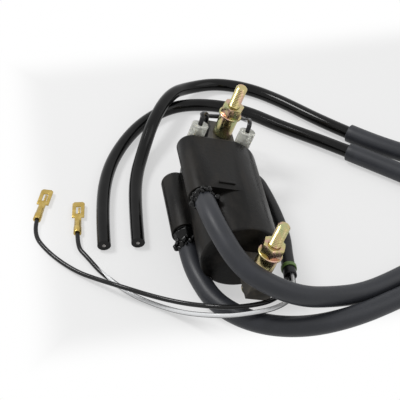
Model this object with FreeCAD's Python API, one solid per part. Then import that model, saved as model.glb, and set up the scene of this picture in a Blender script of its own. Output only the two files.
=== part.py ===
import FreeCAD, Part
import math
import os

V = FreeCAD.Vector
os.makedirs("parts", exist_ok=True)

# Twin-output ignition coil, in millimetres.
# The coil frame has X across the core, Y along the core (far end +Y) and Z along the studs.
# Its origin is where the plane of the two studs crosses the middle of the core.
# The coil lies rolled on its round barrel, so the finished pieces are turned and lifted.

# How the coil lies
roll = 19.0
stud_line_x = 9.77

# Core bar and studs
core_length = 118.0
stud_from_end = 9.0
core_width = 12.0
core_height = 9.5
stud_radius = 3.0
stud_tip = 36.0
stud_chamfer = 0.7
stud_hole_gap = 0.15
bolt_head_radius = 5.0
bolt_head_height = 3.5
spacer_radius = 5.0
spacer_bore_gap = 0.25
spacer_height = 12.2
washer_radius = 6.1
washer_height = 1.3
nut_across_flats = 10.0
nut_height = 5.6
nut_bore_gap = 0.04
near_nut_turn = 9.0
far_nut_turn = 0.0

# Housing
barrel_radius = 19.7
barrel_near = -37.3
body_far = 27.0
wall = 2.0
near_rim = 1.2
far_rim = 2.2
tower_radius = 6.9
lead_flank_gap = 0.13
tower_near = -11.5
mouth_radius = 5.6
mouth_depth = 7.0
lead_socket_depth = 14.0
slot_gap = 0.05
mark_length = 8.5
mark_width = 1.3
mark_height = 0.7
mark_from_step = 3.6
potting_recess = 0.6

# Windings, all about the core
bobbin_gap = 0.2
winding_clearance = 0.69
primary_bobbin_wall = 0.7
primary_length = 50.0
primary_build = 1.3
secondary_gap = 0.3
secondary_bobbin_wall = 0.7
secondary_length = 44.0
secondary_build = 1.4
flange_width = 1.2
secondary_sections = 6
winding_middle = -7.0

# High-tension leads and sleeves
lead_radius = 3.5
sleeve_radius = 5.0
sleeve_gap = 0.1
pin_radius = 0.9
pin_length = 14.0
pin_in_lead = 6.0
link_radius = 0.6
strand_radius = 1.0
strand_length = 12.0
strand_proud = 0.3
upper_sleeve_corners = 14
lower_sleeve_corners = 15
sleeve_start_share = 0.8
sleeve_end_share = 0.5
sealant_gap = 0.1
sealant_length = 6.0
flank_relief = 0.3
link_gap = 0.3

# Primary terminals and boots
tab_width = 6.3
tab_thick = 0.8
tab_left_x = -21.5
tab_right_x = 4.2
tab_level = 7.0
tab_top = 16.0
tab_reach = 4.6
tab_root = 7.0
receptacle_length = 7.0
receptacle_wall = 0.5
slip_gap = 0.05
ferrule_radius = 1.75
ferrule_length = 3.0
boot_width = 8.4
boot_depth = 6.0
boot_low = 9.0
boot_top = 22.2

# Primary wires, harness sleeve and spade terminals
wire_radius = 1.15
wire_gap = 0.05
harness_radius = 3.3
harness_bore = 2.5
harness_hollow = 6.0
band_radius = 3.9
band_length = 4.5
band_from_end = 2.5
wire_offset = 1.2
blade_length = 11.0
blade_thick = 0.8
neck_length = 3.3
neck_width = 3.4
crimp_length = 4.0
crimp_radius = 1.85
grip_radius = 2.05
window_length = 5.2
window_width = 2.6
lance_width = 1.1
left_spade_heading = 19.0
right_spade_heading = 7.0
left_spade = V(-88.8, 25.7, grip_radius)
right_spade = V(-69.9, 12.9, grip_radius)

# Share of the shorter run that an arc may take, on each side of its corner
arc_share = 0.45

# Values that follow from the sizes above
core_top = core_height / 2
spacer_top = core_top + spacer_height
washer_top = spacer_top + washer_height
stud_y = core_length / 2 - stud_from_end
tower_z = barrel_radius - tower_radius
winding_stack = (bobbin_gap + primary_bobbin_wall + primary_build + secondary_gap
                 + secondary_bobbin_wall + secondary_build)
core_reach = barrel_radius - wall - winding_clearance - winding_stack
barrel_x = core_width / 2 - math.sqrt(core_reach ** 2 - core_top ** 2)
tower_reach = barrel_radius + lead_radius + lead_flank_gap
tower_x = barrel_x - math.sqrt(tower_reach ** 2 - tower_z ** 2)
turn = math.radians(roll)
axis_height = barrel_radius + barrel_x * math.sin(turn)
tab_y = body_far + tab_reach


def box(x0, x1, y0, y1, z0, z1):
    return Part.makeBox(x1 - x0, y1 - y0, z1 - z0, V(x0, y0, z0))


def block(x_mid, y_mid, z_low, width, depth, height):
    corner = V(x_mid - width / 2, y_mid - depth / 2, z_low)
    return Part.makeBox(width, depth, height, corner)


def along_y(radius, x, z, y0, y1):
    return Part.makeCylinder(radius, y1 - y0, V(x, y0, z), V(0, 1, 0))


def along_z(radius, x, y, z0, z1):
    return Part.makeCylinder(radius, z1 - z0, V(x, y, z0), V(0, 0, 1))


def tube_y(width, height, wall_size, y0, y1):
    outer_w = width + 2 * wall_size
    outer_h = height + 2 * wall_size
    outer = box(-outer_w / 2, outer_w / 2, y0, y1, -outer_h / 2, outer_h / 2)
    outer = outer.makeFillet((outer_w - core_width) / 2, long_edges(outer))
    inner = box(-width / 2, width / 2, y0, y1, -height / 2, height / 2)
    if width - core_width > 2 * bobbin_gap + slip_gap:
        inner = inner.makeFillet((width - core_width) / 2, long_edges(inner))
    return outer.cut(inner)


def long_edges(shape):
    found = []
    for edge in shape.Edges:
        direction = edge.Vertexes[1].Point - edge.Vertexes[0].Point
        if abs(direction.y) > 0.99 * direction.Length:
            found.append(edge)
    return found


def fused(pieces):
    result = pieces[0]
    for piece in pieces[1:]:
        result = result.fuse(piece)
    return result.removeSplitter()


def place(shape):
    turned = shape.copy()
    turned.rotate(V(0, 0, 0), V(0, 1, 0), roll)
    turned.translate(V(stud_line_x, 0, axis_height))
    return turned


def placed_point(x, y, z):
    across = x * math.cos(turn) + z * math.sin(turn)
    up = z * math.cos(turn) - x * math.sin(turn)
    return V(across + stud_line_x, y, up + axis_height)


# Core, studs, spacers, washers and nuts

def make_core():
    bar = block(0, 0, -core_top, core_width, core_length, core_height)
    for side in (-1, 1):
        hole = along_z(stud_radius + stud_hole_gap, 0, side * stud_y, -core_top, core_top)
        bar = bar.cut(hole)
    return bar


def make_stud(y):
    # One turned outline. The free end above the nut is a face of its own.
    head_low = -core_top - bolt_head_height
    free_end_low = washer_top + nut_height
    outline = [
        V(stud_radius, y, free_end_low),
        V(stud_radius, y, stud_tip - stud_chamfer),
        V(stud_radius - stud_chamfer, y, stud_tip),
        V(0, y, stud_tip),
        V(0, y, head_low),
        V(bolt_head_radius, y, head_low),
        V(bolt_head_radius, y, -core_top),
        V(stud_radius, y, -core_top),
        V(stud_radius, y, free_end_low),
    ]
    return Part.Face(Part.makePolygon(outline)).revolve(V(0, y, 0), V(0, 0, 1), 360)


def make_spacer(y):
    outer = along_z(spacer_radius, 0, y, core_top, spacer_top)
    bore = along_z(stud_radius + spacer_bore_gap, 0, y, core_top, spacer_top)
    return outer.cut(bore)


def make_washer(y):
    outer = along_z(washer_radius, 0, y, spacer_top, washer_top)
    outer = outer.makeChamfer(washer_height * 0.25, [outer.Edges[0], outer.Edges[2]])
    bore = along_z(stud_radius + nut_bore_gap, 0, y, spacer_top, washer_top)
    return outer.cut(bore)


def make_nut(y, angle):
    corner = nut_across_flats / math.sqrt(3)
    points = []
    for index in range(7):
        around = math.radians(60 * index + angle)
        points.append(V(corner * math.cos(around), y + corner * math.sin(around), washer_top))
    hexagon = Part.Face(Part.makePolygon(points)).extrude(V(0, 0, nut_height))
    slope = corner - nut_across_flats / 2
    waist = along_z(corner, 0, y, washer_top, washer_top + nut_height - slope / 2)
    crown = Part.makeCone(corner, nut_across_flats / 2, slope / 2,
                          V(0, y, washer_top + nut_height - slope / 2), V(0, 0, 1))
    bore = along_z(stud_radius + nut_bore_gap, 0, y, washer_top, washer_top + nut_height)
    return hexagon.common(waist.fuse(crown)).cut(bore)


# Windings about the core

def make_bobbin(width, height, wall_size, length, flange_rise, sections):
    y0 = winding_middle - length / 2
    y1 = winding_middle + length / 2
    pieces = [tube_y(width, height, wall_size, y0, y1)]
    pitch = (length - flange_width) / round(sections)
    for index in range(round(sections) + 1):
        start = y0 + index * pitch
        flange = tube_y(width, height, wall_size + flange_rise, start, start + flange_width)
        pieces.append(flange)
    return fused(pieces)


def make_winding(width, height, build, length, sections):
    y0 = winding_middle - length / 2
    pitch = (length - flange_width) / round(sections)
    rings = []
    for index in range(round(sections)):
        start = y0 + index * pitch + flange_width
        rings.append(tube_y(width, height, build, start, start + pitch - flange_width))
    return rings


def make_windings():
    inner_w = core_width + 2 * bobbin_gap
    inner_h = core_height + 2 * bobbin_gap
    wound_w = inner_w + 2 * primary_bobbin_wall
    wound_h = inner_h + 2 * primary_bobbin_wall
    outer_w = wound_w + 2 * primary_build + 2 * secondary_gap
    outer_h = wound_h + 2 * primary_build + 2 * secondary_gap
    coil_w = outer_w + 2 * secondary_bobbin_wall
    coil_h = outer_h + 2 * secondary_bobbin_wall
    primary_bobbin = make_bobbin(inner_w, inner_h, primary_bobbin_wall, primary_length, primary_build, 1)
    primary = make_winding(wound_w, wound_h, primary_build, primary_length, 1)
    primary = [primary[0].cut(primary_bobbin)]
    secondary_bobbin = make_bobbin(outer_w, outer_h, secondary_bobbin_wall, secondary_length,
                                   secondary_build, secondary_sections)
    secondary = make_winding(coil_w, coil_h, secondary_build, secondary_length, secondary_sections)
    secondary = [ring.cut(secondary_bobbin) for ring in secondary]
    half_width = coil_w / 2 + secondary_build
    return primary_bobbin, primary[0], secondary_bobbin, secondary, half_width


# High-tension contacts inside the towers

def socket_bottom():
    return tower_near + mouth_depth + lead_socket_depth


def make_contact(side, winding_side):
    z = side * tower_z
    start = socket_bottom() - pin_in_lead
    rod = along_y(pin_radius, tower_x, z, start, start + pin_length)
    link_y = socket_bottom() + 2 * pin_radius
    reach_from = V(tower_x, link_y, z)
    reach_to = V(-winding_side - link_gap, link_y, side * core_top)
    link = Part.makeCylinder(link_radius, (reach_to - reach_from).Length, reach_from,
                             reach_to - reach_from)
    return fused([rod, link])


# Housing and potting

def groove_corner():
    across = tower_x - barrel_x
    apart = math.hypot(across, tower_z)
    along = (barrel_radius ** 2 - tower_radius ** 2 + apart ** 2) / (2 * apart)
    aside = math.sqrt(barrel_radius ** 2 - along ** 2)
    x = barrel_x + (across * along - tower_z * aside) / apart
    z = (tower_z * along + across * aside) / apart
    return x, z


def section_face():
    x, z = groove_corner()
    corner_angle = math.atan2(z - tower_z, x - tower_x) % (2 * math.pi)
    middle = (math.pi / 2 + corner_angle) / 2
    bulge_x = tower_x + tower_radius * math.cos(middle)
    bulge_z = tower_z + tower_radius * math.sin(middle)
    top, low = barrel_radius, -barrel_radius
    edges = [
        Part.LineSegment(V(barrel_x, 0, top), V(tower_x, 0, top)),
        Part.Arc(V(tower_x, 0, top), V(bulge_x, 0, bulge_z), V(x, 0, z)),
        Part.Arc(V(x, 0, z), V(barrel_x - barrel_radius, 0, 0), V(x, 0, -z)),
        Part.Arc(V(x, 0, -z), V(bulge_x, 0, -bulge_z), V(tower_x, 0, low)),
        Part.LineSegment(V(tower_x, 0, low), V(barrel_x, 0, low)),
        Part.Arc(V(barrel_x, 0, low), V(barrel_x + barrel_radius, 0, 0), V(barrel_x, 0, top)),
    ]
    return Part.Face(Part.Wire([edge.toShape() for edge in edges]))


def rim(shape, y):
    return [edge for edge in shape.Edges
            if abs(edge.BoundBox.YMin - y) < 0.01 and abs(edge.BoundBox.YMax - y) < 0.01]


def make_bulk():
    section = section_face()
    section.translate(V(0, tower_near, 0))
    body = section.extrude(V(0, body_far - tower_near, 0))
    body = body.makeFillet(far_rim, rim(body, body_far))
    barrel = along_y(barrel_radius, barrel_x, 0, barrel_near, tower_near)
    barrel = barrel.makeFillet(near_rim, rim(barrel, barrel_near))
    return fused([body, barrel])


def make_mark():
    y = tower_near + mark_from_step
    x = tower_x + tower_radius
    return box(x, x + mark_length, y, y + mark_width, barrel_radius - mark_height,
               barrel_radius + mark_height)


def make_housing(inserts):
    housing = make_bulk().fuse(make_mark())
    cavity = along_y(barrel_radius - wall, barrel_x, 0, barrel_near + wall, body_far)
    housing = housing.cut(cavity)
    slot_w = core_width + 2 * slot_gap
    slot_h = core_height + 2 * slot_gap
    housing = housing.cut(block(0, barrel_near, -slot_h / 2, slot_w, 3 * wall, slot_h))
    for side in (-1, 1):
        z = side * tower_z
        mouth_end = tower_near + mouth_depth
        housing = housing.cut(along_y(mouth_radius, tower_x, z, tower_near, mouth_end))
        housing = housing.cut(along_y(lead_radius + sleeve_gap, tower_x, z, mouth_end, socket_bottom()))
    for insert in inserts:
        housing = housing.cut(insert)
    housing = place(housing.removeSplitter())
    for side in (1, -1):
        housing = housing.cut(swept(sleeve_edges(side), sleeve_radius + flank_relief))
    return housing


def make_potting(inner):
    potting = along_y(barrel_radius - wall, barrel_x, 0, barrel_near + wall, body_far - potting_recess)
    for side in (-1, 1):
        potting = potting.cut(along_y(mouth_radius, tower_x, side * tower_z, tower_near, tower_near + mouth_depth))
    for piece in inner:
        potting = potting.cut(piece)
    solids = sorted(potting.Solids, key=lambda solid: solid.Volume)
    return solids[-1]


def make_sealant(side, housing):
    z = side * tower_z
    ring = place(along_y(mouth_radius, tower_x, z, tower_near, tower_near + mouth_depth))
    path = sleeve_edges(side)
    start = path[0].valueAt(path[0].FirstParameter)
    heading = path[0].tangentAt(path[0].FirstParameter)
    bead = Part.makeCone(sleeve_radius, mouth_radius + 0.9, sealant_length, start - heading * sealant_gap,
                         heading * -1)
    channel = swept(route_edges(lead_points(side)), lead_radius + sealant_gap)
    sealant = ring.fuse(bead).cut(channel).cut(housing)
    return sorted(sealant.Solids, key=lambda solid: solid.Volume)[-1]


# Primary tabs, receptacles and boots

def make_tab(x):
    foot = block(x, (body_far - tab_root + tab_y) / 2, tab_level, tab_width,
                 tab_y - body_far + tab_root + tab_thick, tab_thick)
    upright = block(x, tab_y, tab_level, tab_width, tab_thick, tab_top - tab_level)
    return fused([foot, upright])


def receptacle_low():
    return tab_top - receptacle_length


def make_receptacle(x):
    width = tab_width + 2 * slip_gap + 2 * receptacle_wall
    depth = tab_thick + 2 * slip_gap + 2 * receptacle_wall
    low = receptacle_low()
    shell = block(x, tab_y, low, width, depth, receptacle_length + receptacle_wall)
    slot = block(x, tab_y, low, tab_width + 2 * slip_gap, tab_thick + 2 * slip_gap, receptacle_length)
    ferrule_low = tab_top + receptacle_wall
    ferrule = along_z(ferrule_radius, x, tab_y, ferrule_low, ferrule_low + ferrule_length)
    bore = along_z(wire_radius + wire_gap, x, tab_y, ferrule_low, ferrule_low + ferrule_length)
    return fused([shell.cut(slot), ferrule]).cut(bore)


def make_boot(x):
    outer = block(x, tab_y, boot_low, boot_width, boot_depth, boot_top - boot_low)
    uprights = [edge for edge in outer.Edges if edge.BoundBox.ZLength > boot_depth]
    outer = outer.makeFillet(boot_depth * 0.48, uprights)
    width = tab_width + 4 * slip_gap + 2 * receptacle_wall
    depth = tab_thick + 4 * slip_gap + 2 * receptacle_wall
    pocket_top = tab_top + receptacle_wall + slip_gap
    pocket = block(x, tab_y, boot_low, width, depth, pocket_top - boot_low)
    ferrule_top = tab_top + receptacle_wall + ferrule_length + slip_gap
    throat = along_z(ferrule_radius + slip_gap, x, tab_y, tab_top, ferrule_top)
    neck = along_z(wire_radius + wire_gap, x, tab_y, ferrule_top, boot_top)
    return outer.cut(pocket).cut(throat).cut(neck)


# Cords: straight runs joined by tangent arcs

def corner_radius(before, corner, after):
    run = min((corner - before).Length, (after - corner).Length)
    angle = (corner - before).getAngle(after - corner)
    return arc_share * run / math.tan(angle / 2)


def route_edges(points):
    edges = []
    place_now = points[0]
    for index in range(1, len(points) - 1):
        before, corner, after = points[index - 1], points[index], points[index + 1]
        into = (corner - before).normalize()
        out = (after - corner).normalize()
        reach = arc_share * min((corner - before).Length, (after - corner).Length)
        radius = corner_radius(before, corner, after)
        angle = into.getAngle(out)
        start = corner - into * reach
        finish = corner + out * reach
        inward = (out - into).normalize()
        middle = corner + inward * (radius / math.cos(angle / 2) - radius)
        edges.append(Part.LineSegment(place_now, start).toShape())
        edges.append(Part.Arc(start, middle, finish).toShape())
        place_now = finish
    edges.append(Part.LineSegment(place_now, points[-1]).toShape())
    return edges


def swept(edges, radius, bore=0):
    start = edges[0].valueAt(edges[0].FirstParameter)
    heading = edges[0].tangentAt(edges[0].FirstParameter)
    face = Part.Face(Part.Wire(Part.Circle(start, heading, radius).toShape()))
    if bore:
        face = face.cut(Part.Face(Part.Wire(Part.Circle(start, heading, bore).toShape()))).Faces[0]
    return Part.Wire(edges).makePipe(face)


def report_cord(name, points, solid, radius, bore=0):
    radii = []
    for index in range(1, len(points) - 1):
        radii.append(corner_radius(*points[index - 1:index + 2]))
    length = Part.Wire(route_edges(points)).Length
    expected = math.pi * (radius ** 2 - bore ** 2) * length
    print(name, "length", round(length, 1), "least radius", round(min(radii), 1),
          "radii", [round(value) for value in radii], "volume share", round(solid.Volume / expected, 4))


def lead_points(side):
    return upper_lead_points() if side > 0 else lower_lead_points()


def upper_lead_points():
    start = placed_point(tower_x, tower_near + mouth_depth, tower_z)
    return [
        start,
        V(start.x, -10, start.z),
        V(-9.3, -22, 41.9),
        V(-7.3, -36, 41.8),
        V(0, -56, 35.5),
        V(12, -65, 30),
        V(27.5, -66.5, 20.5),
        V(44, -61.5, 11.5),
        V(62, -56.5, 5.2),
        V(83, -49, 5.2),
        V(104, -39, 5.2),
        V(118.5, -26.5, 5.2),
        V(123, -8.5, 5.2),
        V(115.5, 10.5, 5.2),
        V(93, 31, 5.2),
        V(69, 52.5, 5.2),
        V(48, 71.5, 3.6),
        V(32, 87, 3.6),
        V(13, 96.5, 3.6),
        V(-8, 98.5, 3.6),
        V(-26, 88, 3.6),
        V(-40, 71.5, 3.6),
        V(-50.5, 51, 3.6),
        V(-56.3, 24.5, 3.6),
        V(-58, -3.2, 3.6),
    ]


def lower_lead_points():
    start = placed_point(tower_x, tower_near + mouth_depth, -tower_z)
    return [
        start,
        V(start.x, -10, start.z),
        V(-17.6, -21.5, 8.2),
        V(-15.4, -34, 5.4),
        V(-9.5, -52, 5.2),
        V(6.5, -66.5, 5.2),
        V(28, -72.5, 5.2),
        V(53, -70, 5.2),
        V(79, -61.5, 5.2),
        V(106, -51, 5.2),
        V(127, -38, 5.2),
        V(139.5, -18.5, 5.2),
        V(140, 2.5, 5.2),
        V(130, 20, 5.2),
        V(113.5, 33.5, 5.2),
        V(95, 47, 5.2),
        V(71, 70, 5.2),
        V(53, 93, 3.6),
        V(37, 107, 3.6),
        V(19, 114.3, 3.8),
        V(2, 109.5, 6.5),
        V(-9.5, 97.5, 13.6),
        V(-21.5, 77.5, 13.6),
        V(-30, 60, 6.5),
        V(-36.5, 42.5, 3.6),
        V(-39.5, 18.5, 3.6),
        V(-41, -4.2, 3.6),
    ]


def harness_points():
    return [
        V(0.5, 42, 37),
        V(-2.5, 40.5, 26),
        V(-4.5, 38.5, 13.5),
        V(2, 37.5, 4.2),
        V(14.5, 37, 3.6),
        V(26.5, 33, 3.6),
        V(29.5, 18.5, 3.6),
        V(31.5, 3, 3.6),
        V(32.2, -13, 3.6),
        V(30, -27, 4.4),
        V(28.8, -40.5, 5.6),
    ]


def mouth_points(mouth, inward, side):
    across = inward.cross(V(0, 0, 1)).normalize() * side * wire_offset
    return mouth + inward * (harness_hollow - 0.5) + across, mouth - inward * 6 + across


def near_mouth(side):
    before, mouth = harness_points()[-2:]
    return mouth_points(mouth, (before - mouth).normalize(), side)


def far_mouth(side):
    mouth, after = harness_points()[:2]
    return mouth_points(mouth, (after - mouth).normalize(), side)


def left_wire_points():
    inside, outside = near_mouth(-1)
    return [
        inside,
        outside,
        V(22, -55, 11.5),
        V(14, -63, 16),
        V(5, -64, 16),
        V(-4, -63.5, 15.8),
        V(-13, -60.5, 14.5),
        V(-26, -51.5, 9),
        V(-39.5, -42.8, 6.9),
        V(-53, -34.5, 6.9),
        V(-63, -25.5, 3.6),
        V(-74, -16, 1.4),
        V(-86, -1.5, 1.4),
        left_spade - heading_vector(left_spade_heading) * 13,
        left_spade,
    ]


def right_wire_points():
    inside, outside = near_mouth(1)
    return [
        inside,
        outside,
        V(25, -59.5, 11.5),
        V(15, -67.5, 15.8),
        V(4, -68.5, 16),
        V(-6, -68, 15.4),
        V(-16, -64, 13),
        V(-26, -54, 5),
        V(-36.5, -44.8, 1.4),
        V(-47, -37, 1.4),
        V(-54.8, -27.8, 1.4),
        V(-62, -18, 1.4),
        V(-67.3, -7, 1.4),
        right_spade - heading_vector(right_spade_heading) * 13,
        right_spade,
    ]


def left_short_wire_points():
    inside, outside = far_mouth(-1)
    return [
        placed_point(tab_left_x, tab_y, tab_top + receptacle_wall),
        placed_point(tab_left_x, tab_y, boot_top + 3),
        V(-1, 38, 48.5),
        outside,
        inside,
    ]


def right_short_wire_points():
    inside, outside = far_mouth(1)
    return [
        placed_point(tab_right_x, tab_y, tab_top + receptacle_wall),
        placed_point(tab_right_x, tab_y, boot_top + 3),
        V(23.5, 38.5, 39.5),
        V(24.2, 47.5, 31),
        V(21.7, 58.5, 25),
        V(12, 64, 21.8),
        V(3.5, 60.5, 26.5),
        V(0.5, 52, 35),
        outside,
        inside,
    ]


# Spade terminals

def make_spade(start, heading_angle):
    grip = along_y(grip_radius, 0, 0, -crimp_length, 0)
    grip = grip.cut(along_y(wire_radius + wire_gap, 0, 0, -crimp_length, 0))
    grip.translate(V(0, crimp_length, 0))
    barrel = along_y(crimp_radius, 0, 0, crimp_length, 2 * crimp_length)
    low = -blade_thick / 2
    neck_start = 2 * crimp_length
    neck = block(0, neck_start + neck_length / 2, low, neck_width, neck_length, blade_thick)
    blade_start = neck_start + neck_length
    blade = block(0, blade_start + blade_length / 2, low, tab_width, blade_length, blade_thick)
    tip_edges = [edge for edge in blade.Edges
                 if edge.BoundBox.ZLength > blade_thick / 2 and edge.BoundBox.YMin > blade_start]
    blade = blade.makeChamfer(tab_width * 0.16, tip_edges)
    middle = blade_start + blade_length * 0.48
    window = block(0, middle, low, window_width, window_length, blade_thick)
    lance = block(0, middle - window_length * 0.12, low, lance_width, window_length * 0.76, blade_thick)
    lance.translate(V(window_width * 0.18, 0, blade_thick * 0.35))
    spade = fused([grip, barrel, neck, blade.cut(window), lance])
    spade.rotate(V(0, 0, 0), V(0, 0, 1), -heading_angle)
    spade.translate(start - heading_vector(heading_angle) * crimp_length)
    return spade


def heading_vector(heading_angle):
    angle = math.radians(heading_angle)
    return V(math.sin(angle), math.cos(angle), 0)


def save(name, shape):
    shapes = shape if isinstance(shape, list) else [shape]
    solids = []
    for item in shapes:
        solids.extend(item.Solids)
    whole = solids[0] if len(solids) == 1 else Part.makeCompound(solids)
    whole.exportStep("parts/" + name + ".step")
    bound = whole.BoundBox
    print(name, "solids", len(solids), "valid", whole.isValid(), "volume", round(whole.Volume, 1),
          "z", round(bound.ZMin, 2), round(bound.ZMax, 2))
    return whole


def main():
    core = make_core()
    primary_bobbin, primary, secondary_bobbin, secondary, half_width = make_windings()
    contacts = [make_contact(side, half_width) for side in (1, -1)]
    tabs = [make_tab(x) for x in (tab_left_x, tab_right_x)]
    inner = [core, primary_bobbin, primary, secondary_bobbin] + secondary + contacts + tabs
    housing = make_housing(contacts + tabs)
    rigid = [save("housing", housing)]

    def keep(name, shape):
        shapes = shape if isinstance(shape, list) else [shape]
        rigid.append(save(name, [place(item) for item in shapes]))

    keep("potting_resin", make_potting(inner))
    keep("core_bar", core)
    keep("primary_bobbin", primary_bobbin)
    keep("primary_winding", primary)
    keep("secondary_bobbin", secondary_bobbin)
    keep("secondary_winding", secondary)
    keep("ht_contact_upper", contacts[0])
    keep("ht_contact_lower", contacts[1])
    rigid.append(save("sealant_upper", make_sealant(1, housing)))
    rigid.append(save("sealant_lower", make_sealant(-1, housing)))
    for name, y, angle in (("near", -stud_y, near_nut_turn), ("far", stud_y, far_nut_turn)):
        keep(name + "_stud", make_stud(y))
        keep(name + "_spacer", make_spacer(y))
        keep(name + "_washer", make_washer(y))
        keep(name + "_nut", make_nut(y, angle))
    for name, x, tab in (("left", tab_left_x, tabs[0]), ("right", tab_right_x, tabs[1])):
        keep(name + "_tab", tab)
        keep(name + "_receptacle", make_receptacle(x))
        keep(name + "_boot", make_boot(x))

    cords()
    box_all = Part.makeCompound(rigid).optimalBoundingBox(False, False)
    print("rigid box middle", round((box_all.XMin + box_all.XMax) / 2, 3),
          round((box_all.YMin + box_all.YMax) / 2, 3), "low", round(box_all.ZMin, 3),
          "size", round(box_all.XLength, 2), round(box_all.YLength, 2), round(box_all.ZLength, 2))
    print("axis height", round(axis_height, 3), "barrel x", round(barrel_x, 3), "tower x", round(tower_x, 3))


def sleeve_edges(side):
    edges = route_edges(lead_points(side))
    corners = upper_sleeve_corners if side > 0 else lower_sleeve_corners
    first, last = 2, 2 * corners
    start = edges[first].valueAt(edges[first].FirstParameter)
    heading = edges[first].tangentAt(edges[first].FirstParameter)
    length = edges[first].Length
    head = Part.LineSegment(start + heading * length * sleeve_start_share, start + heading * length).toShape()
    start = edges[last].valueAt(edges[last].FirstParameter)
    heading = edges[last].tangentAt(edges[last].FirstParameter)
    tail = Part.LineSegment(start, start + heading * edges[last].Length * sleeve_end_share).toShape()
    return [head] + edges[first + 1:last] + [tail]


def make_lead(name, side):
    points = lead_points(side)
    edges = route_edges(points)
    lead = swept(edges, lead_radius)
    report_cord("ht_lead_" + name, points, lead, lead_radius)
    mouth_end = tower_near + mouth_depth
    root = place(along_y(lead_radius, tower_x, side * tower_z, mouth_end, socket_bottom()))
    lead = lead.fuse(root)
    lead = lead.cut(place(along_y(pin_radius, tower_x, side * tower_z, mouth_end, socket_bottom())))
    heading = edges[-1].tangentAt(edges[-1].FirstParameter)
    strand_start = points[-1] - heading * strand_length
    strand = Part.makeCylinder(strand_radius, strand_length + strand_proud, strand_start, heading)
    covered = sleeve_edges(side)
    sleeve = swept(covered, sleeve_radius, lead_radius + sleeve_gap)
    print("sleeve_" + name, "length", round(Part.Wire(covered).Length, 1))
    return lead.cut(strand), strand, sleeve


def cords():
    for name, side in (("upper", 1), ("lower", -1)):
        lead, strand, sleeve = make_lead(name, side)
        save("ht_lead_" + name, lead)
        save("ht_strand_" + name, strand)
        save("sleeve_" + name, sleeve)

    points = harness_points()
    edges = route_edges(points)
    harness = swept(edges, harness_radius)
    report_cord("harness_sleeve", points, harness, harness_radius)
    heading = edges[-1].tangentAt(edges[-1].FirstParameter)
    for end, inward in ((points[-1], heading * -1), (points[0], edges[0].tangentAt(edges[0].FirstParameter))):
        harness = harness.cut(Part.makeCylinder(harness_bore, harness_hollow, end, inward))
    band_start = points[-1] - heading * (band_from_end + band_length)
    band = Part.makeCylinder(band_radius, band_length, band_start, heading)
    band = band.cut(Part.makeCylinder(harness_radius, band_length, band_start, heading))
    save("harness_sleeve", harness)
    save("green_band", band)
    for name, points in (("left_wire", left_wire_points()), ("right_wire", right_wire_points()),
                         ("left_short_wire", left_short_wire_points()),
                         ("right_short_wire", right_short_wire_points())):
        wire = swept(route_edges(points), wire_radius)
        report_cord(name, points, wire, wire_radius)
        save(name, wire)
    save("left_spade", make_spade(left_spade, left_spade_heading))
    save("right_spade", make_spade(right_spade, right_spade_heading))


main()
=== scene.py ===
import math

import bmesh
import bpy
from bpy.props import FloatProperty, FloatVectorProperty, IntProperty, PointerProperty
from mathutils import Matrix, Vector, noise


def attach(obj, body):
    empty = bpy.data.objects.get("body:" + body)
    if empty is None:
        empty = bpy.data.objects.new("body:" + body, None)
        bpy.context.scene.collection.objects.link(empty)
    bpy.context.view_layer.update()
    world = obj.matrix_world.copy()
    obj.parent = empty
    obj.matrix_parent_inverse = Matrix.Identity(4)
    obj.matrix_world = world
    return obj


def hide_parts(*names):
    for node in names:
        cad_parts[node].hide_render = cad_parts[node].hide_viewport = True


bl_info = {
    "name": "Ignition Coil",
    "version": (1, 0, 0),
    "blender": (4, 5, 0),
    "location": "3D View > Sidebar > Ignition Coil",
    "description": "Dresses a twin lead ignition coil with its leads, harness and finishes",
    "category": "Object",
}

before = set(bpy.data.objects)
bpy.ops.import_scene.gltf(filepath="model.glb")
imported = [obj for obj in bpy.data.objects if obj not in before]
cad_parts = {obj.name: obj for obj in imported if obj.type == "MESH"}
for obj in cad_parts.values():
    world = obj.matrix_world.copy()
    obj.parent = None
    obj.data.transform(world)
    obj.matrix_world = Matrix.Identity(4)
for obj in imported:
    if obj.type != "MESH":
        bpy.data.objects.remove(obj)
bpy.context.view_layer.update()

# The coil lies rolled on its round barrel, turned about the line of the core bar.
ROLL = math.radians(19.0)
AXIS_HEIGHT = 0.017921
STUD_LINE_X = 0.00977
COIL = Matrix.Translation((STUD_LINE_X, 0, AXIS_HEIGHT)) @ Matrix.Rotation(ROLL, 4, "Y")

# Routes of the cords, in metres
UPPER_LEAD = [
    (-0.00967, -0.0045, 0.03815), (-0.00967, -0.0100, 0.03815), (-0.0093, -0.0220, 0.0419),
    (-0.0073, -0.0360, 0.0418), (0.0000, -0.0560, 0.0355), (0.0120, -0.0650, 0.0300),
    (0.0275, -0.0665, 0.0205), (0.0440, -0.0615, 0.0115), (0.0620, -0.0565, 0.0052),
    (0.0830, -0.0490, 0.0052), (0.1040, -0.0390, 0.0052), (0.1185, -0.0265, 0.0052),
    (0.1230, -0.0085, 0.0052), (0.1155, 0.0105, 0.0052), (0.0930, 0.0310, 0.0052),
    (0.0690, 0.0525, 0.0052), (0.0480, 0.0715, 0.0036), (0.0320, 0.0870, 0.0036),
    (0.0130, 0.0965, 0.0036), (-0.0080, 0.0985, 0.0036), (-0.0260, 0.0880, 0.0036),
    (-0.0400, 0.0715, 0.0036), (-0.0505, 0.0510, 0.0036), (-0.0563, 0.0245, 0.0036),
    (-0.0580, -0.0032, 0.0036),
]
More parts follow.
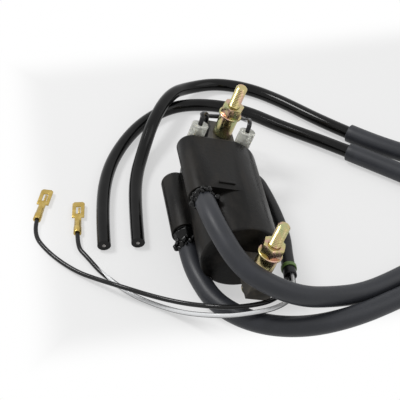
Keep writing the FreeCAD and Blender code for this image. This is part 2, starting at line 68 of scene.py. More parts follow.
LOWER_LEAD = [
    (-0.01801, -0.0045, 0.01395), (-0.01801, -0.0100, 0.01395), (-0.0176, -0.0215, 0.0082),
    (-0.0154, -0.0340, 0.0054), (-0.0095, -0.0520, 0.0052), (0.0065, -0.0665, 0.0052),
    (0.0280, -0.0725, 0.0052), (0.0530, -0.0700, 0.0052), (0.0790, -0.0615, 0.0052),
    (0.1060, -0.0510, 0.0052), (0.1270, -0.0380, 0.0052), (0.1395, -0.0185, 0.0052),
    (0.1400, 0.0025, 0.0052), (0.1300, 0.0200, 0.0052), (0.1135, 0.0335, 0.0052),
    (0.0950, 0.0470, 0.0052), (0.0710, 0.0700, 0.0052), (0.0530, 0.0930, 0.0036),
    (0.0370, 0.1070, 0.0036), (0.0190, 0.1143, 0.0038), (0.0020, 0.1095, 0.0065),
    (-0.0095, 0.0975, 0.0136), (-0.0215, 0.0775, 0.0136), (-0.0300, 0.0600, 0.0065),
    (-0.0365, 0.0425, 0.0036), (-0.0395, 0.0185, 0.0036), (-0.0410, -0.0042, 0.0036),
]
HARNESS = [
    (0.0005, 0.0420, 0.0370), (-0.0025, 0.0405, 0.0260), (-0.0045, 0.0385, 0.0135),
    (0.0020, 0.0375, 0.0042), (0.0145, 0.0370, 0.0036), (0.0265, 0.0330, 0.0036),
    (0.0295, 0.0185, 0.0036), (0.0315, 0.0030, 0.0036), (0.0322, -0.0130, 0.0036),
    (0.0300, -0.0270, 0.0044), (0.0288, -0.0405, 0.0056),
]
LEFT_WIRE = [
    (0.0281, -0.0349, 0.0051), (0.0271, -0.0463, 0.0061), (0.0220, -0.0550, 0.0115),
    (0.0140, -0.0630, 0.0160), (0.0050, -0.0640, 0.0160), (-0.0040, -0.0635, 0.0158),
    (-0.0130, -0.0605, 0.0145), (-0.0260, -0.0515, 0.0090), (-0.0395, -0.0428, 0.0069),
    (-0.0530, -0.0345, 0.0069), (-0.0630, -0.0255, 0.0036), (-0.0740, -0.0160, 0.0014),
    (-0.0860, -0.0015, 0.0014), (-0.0930, 0.0134, 0.00205), (-0.0888, 0.0257, 0.00205),
]
RIGHT_WIRE = [
    (0.0305, -0.0351, 0.0051), (0.0295, -0.0466, 0.0061), (0.0250, -0.0595, 0.0115),
    (0.0150, -0.0675, 0.0158), (0.0040, -0.0685, 0.0160), (-0.0060, -0.0680, 0.0154),
    (-0.0160, -0.0640, 0.0130), (-0.0260, -0.0540, 0.0050), (-0.0365, -0.0448, 0.0014),
    (-0.0470, -0.0370, 0.0014), (-0.0548, -0.0278, 0.0014), (-0.0620, -0.0180, 0.0014),
    (-0.0673, -0.0070, 0.0014), (-0.0715, 0.0000, 0.00205), (-0.0699, 0.0129, 0.00205),
]
LEFT_SHORT_WIRE = [
    (-0.0052, 0.0316, 0.0405), (-0.0024, 0.0316, 0.0487), (-0.0010, 0.0380, 0.0485),
    (0.0026, 0.0417, 0.0427), (-0.0004, 0.0402, 0.0317),
]
RIGHT_SHORT_WIRE = [
    (0.0191, 0.0316, 0.0322), (0.0219, 0.0316, 0.0404), (0.0235, 0.0385, 0.0395),
    (0.0242, 0.0475, 0.0310), (0.0217, 0.0585, 0.0250), (0.0120, 0.0640, 0.0218),
    (0.0035, 0.0605, 0.0265), (0.0005, 0.0520, 0.0350), (0.0015, 0.0439, 0.0427),
    (-0.0015, 0.0424, 0.0317),
]
SLEEVE_ENDS = {
    "upper": ((-0.00949, -0.01575, 0.03995), (0.08065, 0.04206, 0.0052)),
    "lower": ((-0.01781, -0.0155, 0.0112), (0.08403, 0.05751, 0.0052)),
}


def colour(name, description, default):
    return FloatVectorProperty(name=name, description=description, subtype="COLOR",
                               size=3, min=0, max=1, default=default)


def length(name, description, default):
    return FloatProperty(name=name, description=description, default=default, min=0,
                         subtype="DISTANCE", unit="LENGTH", precision=5)


class CoilSizes(bpy.types.PropertyGroup):
    """Sizes of the pieces that the coil is dressed with"""

    lead_radius: length("Lead radius", "Radius of a high-tension lead", 0.0035)
    sleeve_radius: length("Sleeve radius", "Outer radius of the rubber sleeves", 0.005)
    sleeve_wall: length("Sleeve wall", "Wall of the rubber sleeves", 0.0014)
    wire_radius: length("Wire radius", "Radius of the primary wires", 0.00115)
    harness_radius: length("Harness radius", "Outer radius of the harness sleeve", 0.0033)
    harness_wall: length("Harness wall", "Wall of the harness sleeve", 0.0008)
    band_radius: length("Band radius", "Outer radius of the green tape band", 0.0039)
    edge_break: length("Edge break", "Rounding of the moulded edges", 0.0006)
    thread_pitch: length("Thread pitch", "Rise of one turn of the stud thread", 0.001)
    thread_depth: length("Thread depth", "Depth of the stud thread", 0.0004)
    tube_sides: IntProperty(name="Tube sides", description="Faces round a swept tube",
                            default=28, min=8, max=64)


class CoilColours(bpy.types.PropertyGroup):
    """Colours of the finishes"""

    housing: colour("Housing", "Moulded housing", (0.0045, 0.0042, 0.0039))
    housing_worn: colour("Housing, worn", "Handled patches of the housing", (0.0200, 0.0175, 0.0150))
    lead: colour("Lead", "Glossy lead jacket", (0.004, 0.004, 0.0041))
    sleeve: colour("Sleeve", "Satin rubber sleeve", (0.026, 0.028, 0.0335))
    gold: colour("Gold zinc", "Yellow areas of the zinc film", (0.52, 0.44, 0.21))
    pink: colour("Pink zinc", "Pink areas of the zinc film", (0.56, 0.36, 0.28))
    olive: colour("Olive zinc", "Green areas of the zinc film", (0.40, 0.43, 0.22))
    brass: colour("Brass", "Spade terminals", (0.45, 0.32, 0.09))
    boot: colour("Boot", "Clear vinyl boots", (0.86, 0.87, 0.80))
    tape: colour("Tape", "Green tape band", (0.11, 0.20, 0.04))
    stripe: colour("Stripe", "Stripe of the right wire", (0.86, 0.87, 0.88))
    floor: colour("Floor", "Floor that the coil lies on", (0.80, 0.80, 0.80))


def sizes():
    return bpy.context.scene.coil_sizes


def colours():
    return bpy.context.scene.coil_colours


# Node groups for the finishes

def group(name, inputs, outputs):
    made = bpy.data.node_groups.new(name, "ShaderNodeTree")
    for label, kind, value in inputs:
        socket = made.interface.new_socket(label, in_out="INPUT", socket_type=kind)
        socket.default_value = value
    for label, kind in outputs:
        made.interface.new_socket(label, in_out="OUTPUT", socket_type=kind)
    start = made.nodes.new("NodeGroupInput")
    end = made.nodes.new("NodeGroupOutput")
    return made, start, end


def add(tree, kind, **settings):
    node = tree.nodes.new(kind)
    for key, value in settings.items():
        if hasattr(node, key):
            setattr(node, key, value)
        else:
            node.inputs[key.replace("_", " ")].default_value = value
    return node


def mix_colour(tree, factor, first, second, blend="MIX"):
    node = tree.nodes.new("ShaderNodeMix")
    node.data_type = "RGBA"
    node.blend_type = blend
    for socket, value in ((node.inputs[0], factor), (node.inputs[6], first), (node.inputs[7], second)):
        if isinstance(value, bpy.types.NodeSocket):
            tree.links.new(value, socket)
        else:
            socket.default_value = value
    return node.outputs[2]


def ranged(tree, value, low, high, to_low=0.0, to_high=1.0):
    node = tree.nodes.new("ShaderNodeMapRange")
    node.interpolation_type = "SMOOTHSTEP"
    tree.links.new(value, node.inputs["Value"])
    for label, item in (("From Min", low), ("From Max", high), ("To Min", to_low), ("To Max", to_high)):
        if isinstance(item, bpy.types.NodeSocket):
            tree.links.new(item, node.inputs[label])
        else:
            node.inputs[label].default_value = item
    return node.outputs["Result"]


def object_place(tree, stretch=None):
    place = tree.nodes.new("ShaderNodeTexCoord").outputs["Object"]
    if stretch is None:
        return place
    mapping = tree.nodes.new("ShaderNodeMapping")
    tree.links.new(place, mapping.inputs["Vector"])
    tree.links.new(stretch, mapping.inputs["Scale"])
    return mapping.outputs["Vector"]


def grain_noise(tree, place, scale, detail=6.0, roughness=0.6):
    node = tree.nodes.new("ShaderNodeTexNoise")
    node.inputs["Detail"].default_value = detail
    node.inputs["Roughness"].default_value = roughness
    tree.links.new(place, node.inputs["Vector"])
    if isinstance(scale, bpy.types.NodeSocket):
        tree.links.new(scale, node.inputs["Scale"])
    else:
        node.inputs["Scale"].default_value = scale
    return node.outputs["Fac"]


def make_mottle():
    """Two colours mottled over a piece, with a fine grain for the bump"""
    made, start, end = group("Mottle", [
        ("Dark", "NodeSocketColor", (0.02, 0.02, 0.02, 1)),
        ("Light", "NodeSocketColor", (0.04, 0.04, 0.04, 1)),
        ("Scale", "NodeSocketFloat", 60.0),
        ("Stretch", "NodeSocketVector", (1, 1, 1)),
        ("Grain Scale", "NodeSocketFloat", 900.0),
        ("Smooth", "NodeSocketFloat", 0.35),
        ("Rough", "NodeSocketFloat", 0.55),
    ], [("Color", "NodeSocketColor"), ("Roughness", "NodeSocketFloat"), ("Height", "NodeSocketFloat")])
    place = object_place(made, start.outputs["Stretch"])
    patches = grain_noise(made, place, start.outputs["Scale"])
    mask = ranged(made, patches, 0.42, 0.72)
    made.links.new(mix_colour(made, mask, start.outputs["Dark"], start.outputs["Light"]), end.inputs["Color"])
    rough = ranged(made, patches, 0.3, 0.7, start.outputs["Smooth"], start.outputs["Rough"])
    made.links.new(rough, end.inputs["Roughness"])
    grain = grain_noise(made, object_place(made), start.outputs["Grain Scale"], 3.0)
    made.links.new(grain, end.inputs["Height"])
    return made


def make_zinc_film():
    """The gold, pink and green clouds of a yellow zinc plating, with fine streaks"""
    made, start, end = group("Zinc film", [
        ("Gold", "NodeSocketColor", (0.6, 0.47, 0.2, 1)),
        ("Pink", "NodeSocketColor", (0.6, 0.34, 0.27, 1)),
        ("Olive", "NodeSocketColor", (0.4, 0.42, 0.17, 1)),
        ("Scale", "NodeSocketFloat", 150.0),
        ("Stretch", "NodeSocketVector", (1, 1, 0.25)),
    ], [("Color", "NodeSocketColor"), ("Roughness", "NodeSocketFloat"), ("Height", "NodeSocketFloat")])
    place = object_place(made, start.outputs["Stretch"])
    clouds = grain_noise(made, place, start.outputs["Scale"], 3.0)
    moved = made.nodes.new("ShaderNodeVectorMath")
    moved.operation = "ADD"
    moved.inputs[1].default_value = (0.37, 0.11, 0.73)
    made.links.new(place, moved.inputs[0])
    veil = grain_noise(made, moved.outputs[0], start.outputs["Scale"], 4.0)
    pinked = mix_colour(made, ranged(made, clouds, 0.48, 0.62), start.outputs["Gold"], start.outputs["Pink"])
    whole = mix_colour(made, ranged(made, veil, 0.50, 0.66), pinked, start.outputs["Olive"])
    made.links.new(whole, end.inputs["Color"])
    streaks = grain_noise(made, object_place(made), 1800.0, 4.0)
    made.links.new(ranged(made, streaks, 0.3, 0.7, 0.16, 0.34), end.inputs["Roughness"])
    made.links.new(streaks, end.inputs["Height"])
    return made


def groups(name):
    found = bpy.data.node_groups.get(name)
    if found is None:
        found = {"Mottle": make_mottle, "Zinc film": make_zinc_film}[name]()
    return found


# Finishes

def opaque(value):
    return (*value, 1.0)


def finish(name, kind, group_values, bump=0.0, bump_distance=0.0002, **sockets):
    """A material with one of the node groups behind its shader"""
    made = bpy.data.materials.get(name)
    if made is not None:
        return made
    made = bpy.data.materials.new(name)
    made.use_nodes = True
    tree = made.node_tree
    surface = tree.nodes["Principled BSDF"]
    for key, value in sockets.items():
        surface.inputs[key.replace("_", " ")].default_value = value
    effect = tree.nodes.new("ShaderNodeGroup")
    effect.node_tree = groups(kind)
    for key, value in group_values.items():
        effect.inputs[key].default_value = value
    tree.links.new(effect.outputs["Color"], surface.inputs["Base Color"])
    tree.links.new(effect.outputs["Roughness"], surface.inputs["Roughness"])
    if bump:
        relief = tree.nodes.new("ShaderNodeBump")
        relief.inputs["Strength"].default_value = bump
        relief.inputs["Distance"].default_value = bump_distance
        tree.links.new(effect.outputs["Height"], relief.inputs["Height"])
        tree.links.new(relief.outputs["Normal"], surface.inputs["Normal"])
    return made


def mottled(name, dark, light, scale, smooth, rough, grain=900.0, stretch=(1, 1, 1), bump=0.2,
            bump_distance=0.0001, **sockets):
    values = {"Dark": opaque(dark), "Light": opaque(light), "Scale": scale, "Stretch": stretch,
              "Grain Scale": grain, "Smooth": smooth, "Rough": rough}
    return finish(name, "Mottle", values, bump, bump_distance, **sockets)


def housing_plastic():
    return mottled("Housing plastic", colours().housing, colours().housing_worn, 95, 0.24, 0.50,
                   grain=650, stretch=(1, 0.35, 1), bump=0.3, bump_distance=0.00022,
                   Specular_IOR_Level=0.16)


def lead_rubber():
    return mottled("Lead rubber", colours().lead, (0.007, 0.007, 0.007), 120, 0.09, 0.15,
                   bump=0.1, bump_distance=0.00005, Specular_IOR_Level=0.2)


def sleeve_rubber():
    return mottled("Sleeve rubber", colours().sleeve, (0.032, 0.034, 0.041), 90, 0.40, 0.48,
                   bump=0.15, bump_distance=0.00006, Specular_IOR_Level=0.34)


def harness_vinyl():
    return mottled("Harness vinyl", (0.013, 0.013, 0.014), (0.022, 0.022, 0.024), 150, 0.34, 0.46,
                   Specular_IOR_Level=0.25)


def wire_black():
    return mottled("Wire black", (0.005, 0.005, 0.0055), (0.010, 0.010, 0.0105), 200, 0.14, 0.24,
                   bump=0.1, Specular_IOR_Level=0.3)


def sealant_gloss():
    return mottled("Sealant", (0.002, 0.002, 0.002), (0.005, 0.005, 0.005), 300, 0.04, 0.12,
                   grain=500, bump=0.5, bump_distance=0.0004, Specular_IOR_Level=0.22)


def resin():
    return mottled("Potting resin", (0.012, 0.010, 0.009), (0.022, 0.018, 0.015), 90, 0.15, 0.4,
                   grain=300, bump=0.4, bump_distance=0.0003)


def laminated_iron():
    return mottled("Core iron", (0.080, 0.074, 0.064), (0.135, 0.120, 0.098), 260, 0.42, 0.62,
                   grain=2200, stretch=(1, 0.4, 1), bump=0.35, bump_distance=0.0001, Metallic=0.55)


def brass():
    return mottled("Brass", colours().brass, (0.56, 0.42, 0.15), 300, 0.20, 0.36, grain=2500,
                   bump=0.15, bump_distance=0.00005, Metallic=1.0)


def contact_metal():
    return mottled("Contact metal", (0.45, 0.43, 0.40), (0.62, 0.60, 0.56), 300, 0.25, 0.4, Metallic=1.0)


def strand_metal():
    return mottled("Strand metal", (0.30, 0.29, 0.28), (0.50, 0.48, 0.45), 900, 0.25, 0.45, Metallic=1.0)


def bobbin_plastic():
    return mottled("Bobbin plastic", (0.42, 0.38, 0.30), (0.50, 0.46, 0.38), 120, 0.4, 0.55)


def enamelled_wire():
    return mottled("Enamelled wire", (0.28, 0.08, 0.02), (0.42, 0.15, 0.04), 400, 0.2, 0.35,
                   grain=4000, stretch=(1, 12, 1), bump=0.5, Metallic=0.7)


def tape():
    return mottled("Green tape", colours().tape, (0.20, 0.33, 0.09), 260, 0.35, 0.5)


def clear_vinyl():
    return mottled("Clear vinyl", colours().boot, (0.94, 0.94, 0.90), 320, 0.18, 0.42, grain=900,
                   stretch=(1, 1, 0.3), bump=0.35, bump_distance=0.0002, Transmission_Weight=0.55,
                   IOR=1.45)


def yellow_zinc():
    values = {"Gold": opaque(colours().gold), "Pink": opaque(colours().pink),
              "Olive": opaque(colours().olive), "Scale": 210.0, "Stretch": (1, 1, 0.3)}
    return finish("Yellow zinc", "Zinc film", values, 0.12, 0.00003, Metallic=1.0)


def striped_wire():
    """Black jacket with a pale stripe along one side"""
    made = wire_black().copy()
    made.name = "Wire striped"
    tree = made.node_tree
    surface = tree.nodes["Principled BSDF"]
    jacket = surface.inputs["Base Color"].links[0].from_socket
    turn = add(tree, "ShaderNodeAttribute", attribute_name="stripe_turn")
    mask = ranged(tree, turn.outputs["Fac"], 0.30, 0.26)
    painted = mix_colour(tree, mask, jacket, opaque(colours().stripe))
    tree.links.new(painted, surface.inputs["Base Color"])
    return made


# Building helpers

def link(piece):
    bpy.context.scene.collection.objects.link(piece)
    return piece


def finished(shape, name, surface, body="coil", sharp=35.0):
    """The bmesh as a smooth object that rides on a body"""
    mesh = bpy.data.meshes.new(name)
    shape.to_mesh(mesh)
    shape.free()
    mesh.shade_smooth()
    mesh.set_sharp_from_angle(angle=math.radians(sharp))
    mesh.materials.append(surface)
    piece = link(bpy.data.objects.new(name, mesh))
    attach(piece, body)
    return piece


def merged_copy(node):
    shape = bmesh.new()
    shape.from_mesh(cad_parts[node].data)
    bmesh.ops.remove_doubles(shape, verts=shape.verts, dist=2e-6)
    return shape


def break_edges(shape, width, segments=2, angle=32.0):
    """Round the sharp edges of a closed shape"""
    bmesh.ops.dissolve_limit(shape, angle_limit=math.radians(0.6), use_dissolve_boundaries=False,
                             verts=shape.verts, edges=shape.edges)
    sharp = [edge for edge in shape.edges
             if edge.is_manifold and edge.calc_face_angle() > math.radians(angle)]
    bmesh.ops.bevel(shape, geom=sharp, offset=width, offset_type="OFFSET", segments=segments,
                    profile=0.5, affect="EDGES", clamp_overlap=True, material=-1)


def eased_node(node, name, surface, width=0.0, body="coil", segments=2, sharp=35.0):
    shape = merged_copy(node)
    if width:
        break_edges(shape, width, segments)
    piece = finished(shape, name, surface, body, sharp)
    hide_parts(node)
    return piece


def dress(node, surface):
    """Give a node that keeps its own mesh its finish"""
    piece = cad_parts[node]
    if not piece.material_slots:
        piece.data.materials.append(surface)
    for slot in piece.material_slots:
        slot.material = surface


def route_curve(name, points):
    """A smooth line with the route's points as its control points"""
    curve = bpy.data.curves.new(name, "CURVE")
    curve.dimensions = "3D"
    curve.resolution_u = 10
    line = curve.splines.new("NURBS")
    line.points.add(len(points) - 1)
    for control, (x, y, z) in zip(line.points, points):
        control.co = (x, y, z, 1)
    line.order_u = 3
    line.use_endpoint_u = True
    return curve


def read_route(points):
    """Points along the smooth line of a route"""
    curve = route_curve("Route", points)
    holder = bpy.data.objects.new("Route", curve)
    mesh = bpy.data.meshes.new_from_object(holder)
    found = [vertex.co.copy() for vertex in mesh.vertices]
    bpy.data.meshes.remove(mesh)
    bpy.data.objects.remove(holder)
    bpy.data.curves.remove(curve)
    return found


def nearest(line, point):
    goal = Vector(point)
    return min(range(len(line)), key=lambda index: (line[index] - goal).length)


def solid_cord(name, points, radius, surface, body="coil"):
    curve = route_curve(name, points)
    curve.bevel_depth = radius
    curve.bevel_resolution = 5
    curve.use_fill_caps = True
    curve.materials.append(surface)
    piece = link(bpy.data.objects.new(name, curve))
    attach(piece, body)
    return piece


def stations(line, top):
    """A frame at each point of a line, with its first axis turned towards top"""
    frames = []
    for index, point in enumerate(line):
        before = line[max(index - 1, 0)]
        after = line[min(index + 1, len(line) - 1)]
        along = (after - before).normalized()
        side = along.cross(top).normalized()
        up = side.cross(along)
        turn = Matrix((up, side, along)).transposed().to_4x4()
        frames.append(Matrix.Translation(point) @ turn)
    return frames


def swept_tube(line, radius, sides, top=Vector((0, 0, 1)), cap=False, twist=None):
    """A tube drawn along a line, one ring after another, twisted half round between two shares"""
    shape = bmesh.new()
    turn = shape.verts.layers.float.new("stripe_turn")
    frames = stations(line, top)
    if twist:
        for index, before in enumerate(frames):
            share = (index / len(frames) - twist[0]) / (twist[1] - twist[0])
            frames[index] = before @ Matrix.Rotation(math.pi * min(max(share, 0), 1), 4, "Z")
    made = bmesh.ops.create_circle(shape, cap_ends=cap, segments=sides, radius=radius, matrix=frames[0])
    ring = made["verts"]
    for vertex in ring:
        spot = frames[0].inverted() @ vertex.co
        vertex[turn] = abs(math.atan2(spot.y, spot.x)) / math.pi
    edges = [edge for edge in shape.edges]
    for before, after in zip(frames, frames[1:]):
        grown = bmesh.ops.extrude_edge_only(shape, edges=edges)["geom"]
        verts = [item for item in grown if isinstance(item, bmesh.types.BMVert)]
        bmesh.ops.transform(shape, matrix=after @ before.inverted(), verts=verts)
        fresh = set(verts)
        edges = [item for item in grown if isinstance(item, bmesh.types.BMEdge)
                 and item.verts[0] in fresh and item.verts[1] in fresh]
        for vertex in verts:
            spot = after.inverted() @ vertex.co
            vertex[turn] = abs(math.atan2(spot.y, spot.x)) / math.pi
    if cap:
        bmesh.ops.contextual_create(shape, geom=edges)
    bmesh.ops.recalc_face_normals(shape, faces=shape.faces)
    return shape


def hollow_piece(name, line, radius, wall, surface, body="coil"):
    """A soft tube with an open bore and rounded lips"""
    piece = finished(swept_tube(line, radius, sizes().tube_sides), name, surface, body, 60)
    shell = piece.modifiers.new("Wall", "SOLIDIFY")
    shell.thickness = wall
    shell.offset = -1
    lips = piece.modifiers.new("Lips", "BEVEL")
    lips.width = wall * 0.3
    lips.segments = 3
    lips.limit_method = "ANGLE"
    lips.angle_limit = math.radians(50)
    return piece


def aim(piece, forward):
    piece.rotation_euler = Vector(forward).to_track_quat("-Z", "Y").to_euler()


def seen_rays(tree):
    """1 for the rays that show the backdrop itself, 0 for those that light the coil"""
    path = add(tree, "ShaderNodeLightPath")
    first = add(tree, "ShaderNodeMath", operation="ADD")
    tree.links.new(path.outputs["Is Camera Ray"], first.inputs[0])
    tree.links.new(path.outputs["Is Glossy Ray"], first.inputs[1])
    both = add(tree, "ShaderNodeMath", operation="ADD", use_clamp=True)
    tree.links.new(first.outputs[0], both.inputs[0])
    tree.links.new(path.outputs["Is Transmission Ray"], both.inputs[1])
    return both.outputs[0]


# Operators

class COIL_OT_stage(bpy.types.Operator):
    """Make the floor, the lamps and the camera"""

    bl_idname = "coil.make_stage"
    bl_label = "Stage"

    def execute(self, context):
        scene = context.scene
        scene.view_settings.view_transform = "Standard"
        view = bpy.data.cameras.new("Camera")
        view.lens = 103.5
        view.sensor_width = 36
        view.clip_start = 0.01
        camera = link(bpy.data.objects.new("Camera", view))
        camera.location = (-0.07598, -0.3998, 0.4228)
        aim(camera, (0.1181, 0.7034, -0.7009))
        scene.camera = camera
        self.floor()
        self.lamps()
        self.world(scene)
        return {"FINISHED"}

    def floor(self):
        shape = bmesh.new()
        bmesh.ops.create_grid(shape, x_segments=4, y_segments=4, size=3.0)
        mesh = bpy.data.meshes.new("Floor")
        shape.to_mesh(mesh)
        shape.free()
        made = bpy.data.materials.new("Floor paper")
        made.use_nodes = True
        tree = made.node_tree
        paper = tree.nodes["Principled BSDF"]
        paper.inputs["Base Color"].default_value = opaque(colours().floor)
        paper.inputs["Roughness"].default_value = 0.9
        paper.inputs["Specular IOR Level"].default_value = 0.1
        glow = add(tree, "ShaderNodeEmission", Color=(1, 1, 1, 1), Strength=1.0)
        place = add(tree, "ShaderNodeSeparateXYZ")
        tree.links.new(object_place(tree), place.inputs[0])
        masks = [ranged(tree, place.outputs["X"], -0.070, -0.108), ranged(tree, place.outputs["Y"], 0.125, 0.170),
                 ranged(tree, place.outputs["Y"], -0.044, -0.080), ranged(tree, place.outputs["X"], 0.118, 0.200)]
        whole = masks[0]
        for mask in masks[1:]:
            most = add(tree, "ShaderNodeMath", operation="MAXIMUM")
            tree.links.new(whole, most.inputs[0])
            tree.links.new(mask, most.inputs[1])
            whole = most.outputs[0]
        # The paper is bright everywhere and white towards the edges of the picture
        whole = ranged(tree, whole, 0.0, 1.0, 0.5, 1.0)
        rays = seen_rays(tree)
        share = add(tree, "ShaderNodeMath", operation="MULTIPLY")
        tree.links.new(whole, share.inputs[0])
        tree.links.new(rays, share.inputs[1])
        blend = add(tree, "ShaderNodeMixShader")
        tree.links.new(share.outputs[0], blend.inputs["Fac"])
        tree.links.new(paper.outputs[0], blend.inputs[1])
        tree.links.new(glow.outputs[0], blend.inputs[2])
        tree.links.new(blend.outputs[0], tree.nodes["Material Output"].inputs["Surface"])
        mesh.materials.append(made)
        link(bpy.data.objects.new("Floor", mesh))

    def lamps(self):
        for name, spot, size, power in (
            ("Key", (-0.55, 0.35, 0.95), 0.30, 6.0),
            ("Fill", (0.60, -0.25, 0.75), 0.7, 1.6),
        ):
            lamp = bpy.data.lights.new(name, "AREA")
            lamp.size = size
            lamp.energy = power
            piece = link(bpy.data.objects.new(name, lamp))
            piece.location = spot
            aim(piece, Vector((0.01, 0.01, 0.0)) - Vector(spot))

    def world(self, scene):
        made = bpy.data.worlds.new("Studio")
        made.use_nodes = True
        tree = made.node_tree
        soft = tree.nodes["Background"]
        soft.inputs["Color"].default_value = (1, 1, 1, 1)
        soft.inputs["Strength"].default_value = 0.42
        white = add(tree, "ShaderNodeBackground", Color=(1, 1, 1, 1), Strength=1.0)
        blend = add(tree, "ShaderNodeMixShader")
        tree.links.new(seen_rays(tree), blend.inputs["Fac"])
        tree.links.new(soft.outputs[0], blend.inputs[1])
        tree.links.new(white.outputs[0], blend.inputs[2])
        tree.links.new(blend.outputs[0], tree.nodes["World Output"].inputs["Surface"])
        scene.world = made


class COIL_OT_leads(bpy.types.Operator):
    """Make the two high-tension leads with their rubber sleeves and strands"""

    bl_idname = "coil.make_leads"
    bl_label = "Leads"

    def execute(self, context):
        for side, points, total in (("upper", UPPER_LEAD, 0.503), ("lower", LOWER_LEAD, 0.553)):
            line = read_route(points)
            lead = solid_cord("lead_" + side, points, sizes().lead_radius, lead_rubber())
            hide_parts("ht_lead_" + side)
            start, end = SLEEVE_ENDS[side]
            covered = line[nearest(line, start):nearest(line, end) + 1]
            sleeve = hollow_piece("rubber_sleeve_" + side, covered, sizes().sleeve_radius,
                                  sizes().sleeve_wall, sleeve_rubber())
            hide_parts("sleeve_" + side)
            strands = self.strands(side, line)
            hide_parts("ht_strand_" + side)
        return {"FINISHED"}

    def strands(self, side, line):
        """A bundle of strands that shows at the cut end"""
        shape = bmesh.new()
        end = stations(line, Vector((0, 0, 1)))[-1]
        for index in range(7):
            around = math.radians(60 * index)
            out = 0.0 if index == 6 else 0.00064
            spot = (out * math.cos(around), out * math.sin(around), -0.003 + 0.00005 * (index % 3))
            bmesh.ops.create_cone(shape, cap_ends=True, segments=12, radius1=0.00032,
                                  radius2=0.0003, depth=0.0064, matrix=end @ Matrix.Translation(spot))
        return finished(shape, "strands_" + side, strand_metal())


class COIL_OT_harness(bpy.types.Operator):
    """Make the harness sleeve and the green tape band near its open end"""

    bl_idname = "coil.make_harness"
    bl_label = "Harness sleeve"

    def execute(self, context):
        line = read_route(HARNESS)
        sleeve = hollow_piece("harness_tube", line, sizes().harness_radius, sizes().harness_wall,
                              harness_vinyl())
        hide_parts("harness_sleeve")
        near = [point for point in line
                if 0.0025 < (point - line[-1]).length < 0.0070 and point.y < -0.02]
        band = hollow_piece("tape_band", near, sizes().band_radius, 0.0006, tape())
        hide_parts("green_band")
        return {"FINISHED"}


class COIL_OT_wires(bpy.types.Operator):
    """Make the two long wires and the two short wires of the primary side"""

    bl_idname = "coil.make_wires"
    bl_label = "Wires"

    def execute(self, context):
        radius = sizes().wire_radius
        black = solid_cord("wire_left", LEFT_WIRE, radius, wire_black())
        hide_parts("left_wire")
        line = read_route(RIGHT_WIRE)
        shape = swept_tube(line, radius, 20, Vector((-0.35, -0.55, 0.76)), cap=True,
                           twist=(0.74, 0.85))
        striped = finished(shape, "wire_right", striped_wire(), sharp=60)
        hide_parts("right_wire")
        for side, points, total in (("left", LEFT_SHORT_WIRE, 0.0322), ("right", RIGHT_SHORT_WIRE, 0.0897)):
            short = solid_cord("short_wire_" + side, points, radius, wire_black())
            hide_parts(side + "_short_wire")
        return {"FINISHED"}


class COIL_OT_spades(bpy.types.Operator):
    """Make the brass spade terminals"""

    bl_idname = "coil.make_spades"
    bl_label = "Spade terminals"

    def execute(self, context):
        for side in ("left", "right"):
            eased_node(side + "_spade", side + "_spade_terminal", brass(), 0.0001)
        return {"FINISHED"}


class COIL_OT_housing(bpy.types.Operator):
    """Make the moulded housing and the resin that fills it"""

    bl_idname = "coil.make_housing"
    bl_label = "Housing"

    def execute(self, context):
        eased_node("housing", "moulded_housing", housing_plastic(),
                   sizes().edge_break, segments=3)
        dress("potting_resin", resin())
        return {"FINISHED"}


class COIL_OT_sealant(bpy.types.Operator):
    """Make the glossy sealant at the tower mouths"""

    bl_idname = "coil.make_sealant"
    bl_label = "Sealant"

    def execute(self, context):
        for side, points in (("upper", UPPER_LEAD), ("lower", LOWER_LEAD)):
            shape = merged_copy("sealant_" + side)
            line = read_route(points)
            mouth = nearest(line, SLEEVE_ENDS[side][0])
            frame_there = stations(line, Vector((0, 0, 1)))[mouth]
            for index in range(26):
                around = 2.4 * index
                reach = 0.0052 + 0.0008 * math.sin(3.1 * index)
                spot = (reach * math.cos(around), reach * math.sin(around), -0.0020 + 0.00019 * index)
                bmesh.ops.create_icosphere(shape, subdivisions=3, radius=0.0013 + 0.0005 * math.sin(1.7 * index),
                                           matrix=frame_there @ Matrix.Translation(spot))
            for vertex in shape.verts:
                vertex.co += 0.0006 * noise.noise_vector(vertex.co * 420)
            piece = finished(shape, "sealant_bead_" + side, sealant_gloss(), sharp=180)
            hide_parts("sealant_" + side)
        return {"FINISHED"}


class COIL_OT_core(bpy.types.Operator):
    """Finish the core bar and the windings on it"""

    bl_idname = "coil.make_core"
    bl_label = "Core and windings"

    def execute(self, context):
        eased_node("core_bar", "laminated_bar", laminated_iron(), 0.0003)
        for node in ("primary_bobbin", "secondary_bobbin"):
            dress(node, bobbin_plastic())
        for node in ("primary_winding", "secondary_winding"):
            dress(node, enamelled_wire())
        for node in ("ht_contact_upper", "ht_contact_lower"):
            dress(node, contact_metal())
        return {"FINISHED"}


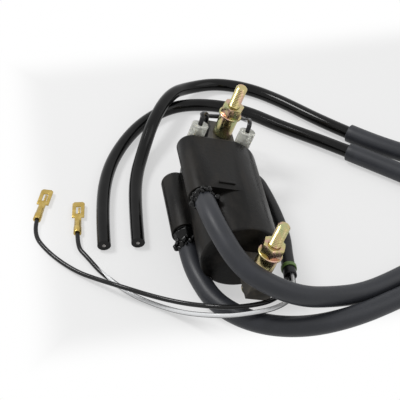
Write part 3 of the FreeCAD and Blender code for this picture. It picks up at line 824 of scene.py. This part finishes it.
class COIL_OT_hardware(bpy.types.Operator):
    """Make the studs, spacers, washers and nuts"""

    bl_idname = "coil.make_hardware"
    bl_label = "Studs and nuts"

    def execute(self, context):
        for end, y in (("near", -0.050), ("far", 0.050)):
            stud = finished(self.stud(y), end + "_threaded_stud", yellow_zinc(), sharp=28)
            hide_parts(end + "_stud")
            eased_node(end + "_spacer", end + "_spacer_tube", yellow_zinc(), 0.00035)
            eased_node(end + "_washer", end + "_plain_washer", yellow_zinc(), 0.00012,
                       end + "_washer")
            eased_node(end + "_nut", end + "_hex_nut", yellow_zinc(), 0.00018,
                       end + "_nut")
        return {"FINISHED"}

    def stud(self, y):
        """A bolt through the bar, threaded from inside the spacer to its tip"""
        shape = bmesh.new()
        pitch, depth = sizes().thread_pitch, sizes().thread_depth
        crest, low, tip, steps = 0.003, 0.0160, 0.0360, 24
        root = crest - depth
        heights = ((root, 0.0), (crest, 0.38), (crest, 0.56), (root, 0.94), (root, 1.0))
        chain = [shape.verts.new((reach, 0, low - pitch + share * pitch)) for reach, share in heights]
        edges = [shape.edges.new(pair) for pair in zip(chain, chain[1:])]
        turns = round((tip - low) / pitch) + 2
        bmesh.ops.spin(shape, geom=chain + edges, cent=(0, 0, 0), axis=(0, 0, 1), use_merge=False,
                       dvec=(0, 0, pitch / steps), angle=math.tau * turns, steps=steps * turns)
        bmesh.ops.remove_doubles(shape, verts=shape.verts, dist=5e-6)
        for height, up in ((low, -1), (tip, 1)):
            bmesh.ops.bisect_plane(shape, geom=shape.verts[:] + shape.edges[:] + shape.faces[:],
                                   dist=1e-7, plane_co=(0, 0, height), plane_no=(0, 0, up),
                                   clear_outer=True)
        rim = [edge for edge in shape.edges if edge.is_boundary]
        bmesh.ops.holes_fill(shape, edges=rim, sides=0)
        for vertex in shape.verts:
            reach = math.hypot(vertex.co.x, vertex.co.y)
            most = crest - max(0.0, vertex.co.z - (tip - 0.0007))
            if reach > most:
                vertex.co.x *= most / reach
                vertex.co.y *= most / reach
        bmesh.ops.create_cone(shape, cap_ends=True, segments=48, radius1=0.0029, radius2=0.0029,
                              depth=low + 0.00475, matrix=Matrix.Translation((0, 0, (low - 0.00475) / 2)))
        head = bmesh.ops.create_cone(shape, cap_ends=True, segments=48, radius1=0.005, radius2=0.005,
                                     depth=0.0035, matrix=Matrix.Translation((0, 0, -0.0065)))["verts"]
        rims = {edge for vertex in head for edge in vertex.link_edges if edge.calc_face_angle(0) > 1.0}
        bmesh.ops.bevel(shape, geom=list(rims), offset=0.0006, offset_type="OFFSET", segments=3,
                        profile=0.5, affect="EDGES", material=-1)
        bmesh.ops.recalc_face_normals(shape, faces=shape.faces)
        bmesh.ops.transform(shape, matrix=COIL @ Matrix.Translation((0, y, 0)), verts=shape.verts)
        return shape


class COIL_OT_terminals(bpy.types.Operator):
    """Finish the primary tabs, their receptacles and the clear boots"""

    bl_idname = "coil.make_terminals"
    bl_label = "Primary terminals"

    def execute(self, context):
        for side in ("left", "right"):
            dress(side + "_tab", brass())
            dress(side + "_receptacle", brass())
            eased_node(side + "_boot", side + "_vinyl_boot", clear_vinyl(), 0.0004)
        return {"FINISHED"}


class COIL_PT_panel(bpy.types.Panel):
    """Lists the steps that dress the coil"""

    bl_idname = "COIL_PT_panel"
    bl_label = "Ignition Coil"
    bl_space_type = "VIEW_3D"
    bl_region_type = "UI"
    bl_category = "Ignition Coil"

    def draw(self, context):
        for step in STEPS:
            self.layout.operator(step.bl_idname)
        for group_of in (context.scene.coil_sizes, context.scene.coil_colours):
            column = self.layout.column()
            for key in group_of.bl_rna.properties.keys():
                if key not in {"rna_type", "name"}:
                    column.prop(group_of, key)


STEPS = (COIL_OT_stage, COIL_OT_leads, COIL_OT_harness, COIL_OT_spades, COIL_OT_wires, COIL_OT_housing,
         COIL_OT_sealant, COIL_OT_core, COIL_OT_hardware, COIL_OT_terminals)
CLASSES = (CoilSizes, CoilColours) + STEPS + (COIL_PT_panel,)


def register():
    for item in CLASSES:
        bpy.utils.register_class(item)
    bpy.types.Scene.coil_sizes = PointerProperty(type=CoilSizes)
    bpy.types.Scene.coil_colours = PointerProperty(type=CoilColours)


def unregister():
    del bpy.types.Scene.coil_colours
    del bpy.types.Scene.coil_sizes
    for item in reversed(CLASSES):
        bpy.utils.unregister_class(item)


def main():
    register()
    bpy.ops.coil.make_stage()
    bpy.ops.coil.make_leads()
    bpy.ops.coil.make_harness()
    bpy.ops.coil.make_spades()
    bpy.ops.coil.make_wires()
    bpy.ops.coil.make_housing()
    bpy.ops.coil.make_sealant()
    bpy.ops.coil.make_core()
    bpy.ops.coil.make_hardware()
    bpy.ops.coil.make_terminals()
    bpy.context.view_layer.update()


if __name__ == "__main__":
    main()
